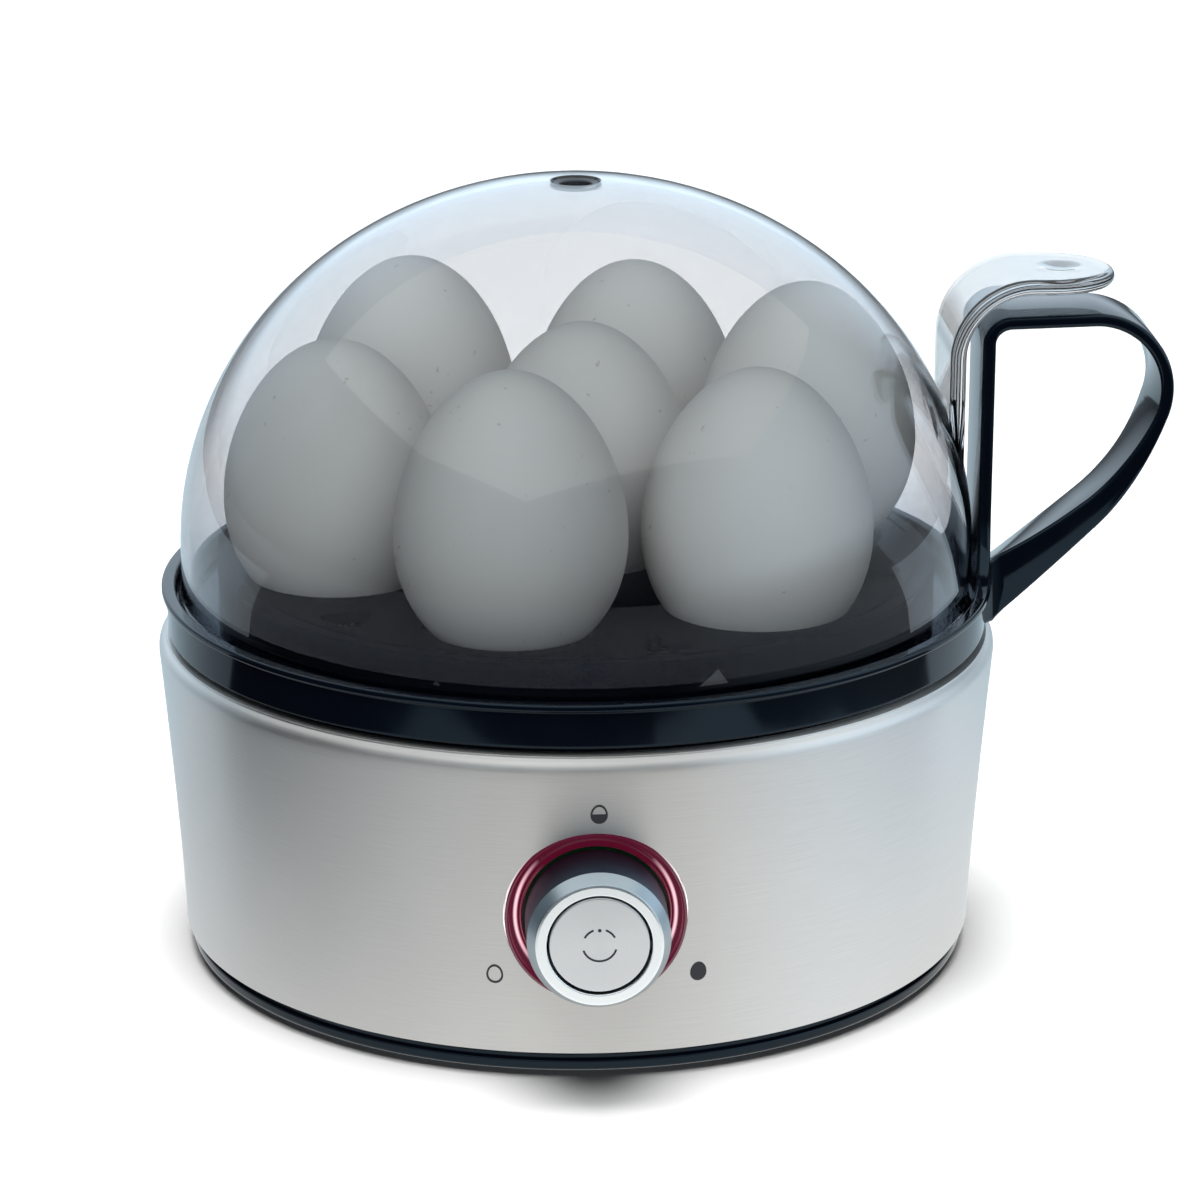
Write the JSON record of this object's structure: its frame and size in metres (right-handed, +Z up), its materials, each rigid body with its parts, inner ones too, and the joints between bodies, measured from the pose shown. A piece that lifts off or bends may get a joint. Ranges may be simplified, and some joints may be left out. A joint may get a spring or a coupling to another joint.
{
  "type": "egg cooker",
  "caption": "Round electric egg cooker: steel-clad heated base with a hardness knob and start button, lift-out egg carrier with loop handle, and clear domed lid with a steam vent.",
  "frame": {"origin": "middle of the whole object's box in plan, at the level of the feet's undersides; the body's own axis is 18.25 mm to its -X side and 6 mm to its +Y side", "axes": "+X towards the carrier's handle, -Y towards the front knob, +Z up"},
  "size_m": [0.2164, 0.192, 0.1668],
  "materials": {
    "shell_steel": "brushed round the body, satin",
    "pan_steel": "spun, satin",
    "gloss_black": "high gloss black with a blue cast",
    "dark_plastic": "plain moulded",
    "clear_plastic": "clear moulded plastic, polished",
    "satin_silver": "satin, fine turned",
    "red_light": "translucent red, polished",
    "foot_rubber": "matte",
    "seal_silicone": "matte silicone",
    "cast_aluminium": "cast, matte",
    "fastener_steel": "zinc plated",
    "circuit_board": "green solder mask",
    "white_part": "smooth",
    "wire_sleeve": "glass-fibre sleeving"
  },
  "bodies": {
    "housing": {"base_cover": "gloss_black", "base_screw_1": "fastener_steel", "base_screw_2": "fastener_steel", "base_screw_3": "fastener_steel", "base_screw_4": "fastener_steel", "board_screw_1": "fastener_steel", "board_screw_2": "fastener_steel", "board_screw_3": "fastener_steel", "board_screw_4": "fastener_steel", "button_spring": "fastener_steel", "buzzer": "dark_plastic", "capacitor": "cast_aluminium", "clamp_screw_1": "fastener_steel", "clamp_screw_2": "fastener_steel", "control_board": "circuit_board", "cord_bushing": "foot_rubber", "foot_1": "foot_rubber", "foot_2": "foot_rubber", "foot_3": "foot_rubber", "foot_4": "foot_rubber", "hardness_dial_sensor": "dark_plastic", "heater_clamp": "fastener_steel", "heater_plate": "cast_aluminium", "heating_element": "fastener_steel", "housing_shell": "shell_steel", "inner_frame": "dark_plastic", "knob_mount": "dark_plastic", "lead_heater_neutral": "wire_sleeve", "lead_heater_switched": "wire_sleeve", "lead_live": "wire_sleeve", "lead_sensor": "wire_sleeve", "led_1": "white_part", "led_2": "white_part", "led_3": "white_part", "led_4": "white_part", "led_board": "circuit_board", "light_ring": "red_light", "mount_screw_1": "fastener_steel", "mount_screw_2": "fastener_steel", "pan_gasket": "seal_silicone", "power_relay": "dark_plastic", "sensor_spring": "fastener_steel", "start_switch": "dark_plastic", "temp_sensor": "cast_aluminium", "terminal_block": "white_part", "thermal_fuse": "white_part", "thermostat": "dark_plastic", "water_pan": "pan_steel"},
    "carrier": {"carrier_ring": "gloss_black", "egg_tray": "gloss_black"},
    "lid": {"lid_dome": "clear_plastic", "lid_vent_bush": "dark_plastic"},
    "knob": {"knob_ring": "satin_silver"},
    "button": {"start_button": "satin_silver"}
  },
  "joints": [
    {"name": "carrier_lift", "type": "slide", "parent": "housing", "child": "carrier", "axis": [0, 0, 1], "range_m": [0, 0.05]},
    {"name": "lid_lift", "type": "slide", "parent": "carrier", "child": "lid", "axis": [0, 0, 1], "range_m": [0, 0.08]},
    {"name": "hardness_knob_turn", "type": "hinge", "parent": "housing", "child": "knob", "pos_m": [-0.01825, -0.084, 0.036], "axis": [0, 1, 0], "range_deg": [-120, 120]},
    {"name": "start_button_press", "type": "slide", "parent": "housing", "child": "button", "axis": [0, 1, 0], "range_m": [0, 0.002], "stiffness_N_per_m": 400, "springref_m": -0.002, "deforming": ["button_spring"]}
  ]
}
